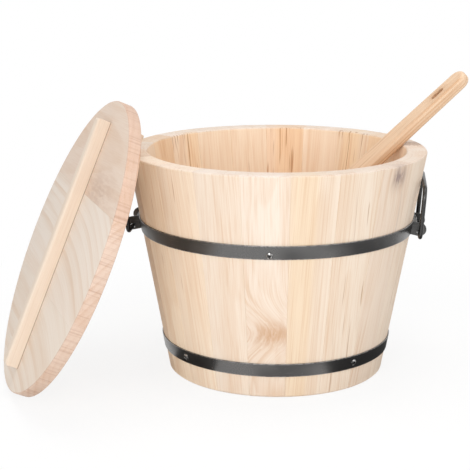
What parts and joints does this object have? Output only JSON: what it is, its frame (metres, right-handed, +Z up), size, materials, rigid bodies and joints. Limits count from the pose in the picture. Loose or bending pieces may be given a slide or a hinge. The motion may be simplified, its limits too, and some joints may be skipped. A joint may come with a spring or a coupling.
{
  "type": "wooden firkin",
  "caption": "Flaring wooden stave tub with flat steel hoops, swinging rod handles, a round board lid leaning on its rim and a wooden ladle standing inside.",
  "frame": {"origin": "on the floor at the middle of the tub's foot", "axes": "+Z up along the tub's axis, handles on the X axis, front towards -Y, lid on the -X side"},
  "size_m": [0.4836, 0.391, 0.3077],
  "materials": {
    "stave_wood": "planed, unvarnished",
    "base_wood": "planed, unvarnished",
    "lid_wood": "planed, unvarnished",
    "lid_bar_wood": "planed, unvarnished",
    "ladle_wood": "sanded, unvarnished",
    "hoop_steel": "black, half gloss",
    "ear_steel": "black, half gloss",
    "bail_steel": "black, half gloss",
    "screw_steel": "blackened steel"
  },
  "bodies": {
    "tub": {"stave_01": "stave_wood", "stave_02": "stave_wood", "stave_03": "stave_wood", "stave_04": "stave_wood", "stave_05": "stave_wood", "stave_06": "stave_wood", "stave_07": "stave_wood", "stave_08": "stave_wood", "stave_09": "stave_wood", "stave_10": "stave_wood", "stave_11": "stave_wood", "stave_12": "stave_wood", "stave_13": "stave_wood", "stave_14": "stave_wood", "stave_15": "stave_wood", "stave_16": "stave_wood", "stave_17": "stave_wood", "stave_18": "stave_wood", "stave_19": "stave_wood", "stave_20": "stave_wood", "base_board_1": "base_wood", "base_board_2": "base_wood", "base_board_3": "base_wood", "hoop_upper": "hoop_steel", "hoop_lower": "hoop_steel", "left_front_ear": "ear_steel", "left_back_ear": "ear_steel", "right_front_ear": "ear_steel", "right_back_ear": "ear_steel", "hoop_rivets": "screw_steel", "hoop_upper_screws": "screw_steel", "hoop_lower_screws": "screw_steel", "left_ear_screws": "screw_steel", "right_ear_screws": "screw_steel"},
    "left_bail": {"left_bail": "bail_steel"},
    "right_bail": {"right_bail": "bail_steel"},
    "lid": {"lid_board_1": "lid_wood", "lid_board_2": "lid_wood", "lid_board_3": "lid_wood", "lid_bar": "lid_bar_wood", "lid_batten": "lid_wood", "lid_batten_screws": "screw_steel"},
    "ladle": {"ladle": "ladle_wood"}
  },
  "joints": [
    {"name": "left_bail_swing", "type": "hinge", "parent": "tub", "child": "left_bail", "pos_m": [-0.1483, 0, 0.151], "axis": [0, -1, 0], "range_deg": [0, 190]},
    {"name": "right_bail_swing", "type": "hinge", "parent": "tub", "child": "right_bail", "pos_m": [0.1483, 0, 0.151], "axis": [0, 1, 0], "range_deg": [0, 190]},
    {"name": "lid_lift", "type": "slide", "parent": "tub", "child": "lid", "axis": [0, 0, 1], "range_m": [0, 0.3]},
    {"name": "ladle_lift", "type": "slide", "parent": "tub", "child": "ladle", "axis": [0, 0, 1], "range_m": [0, 0.26]}
  ]
}
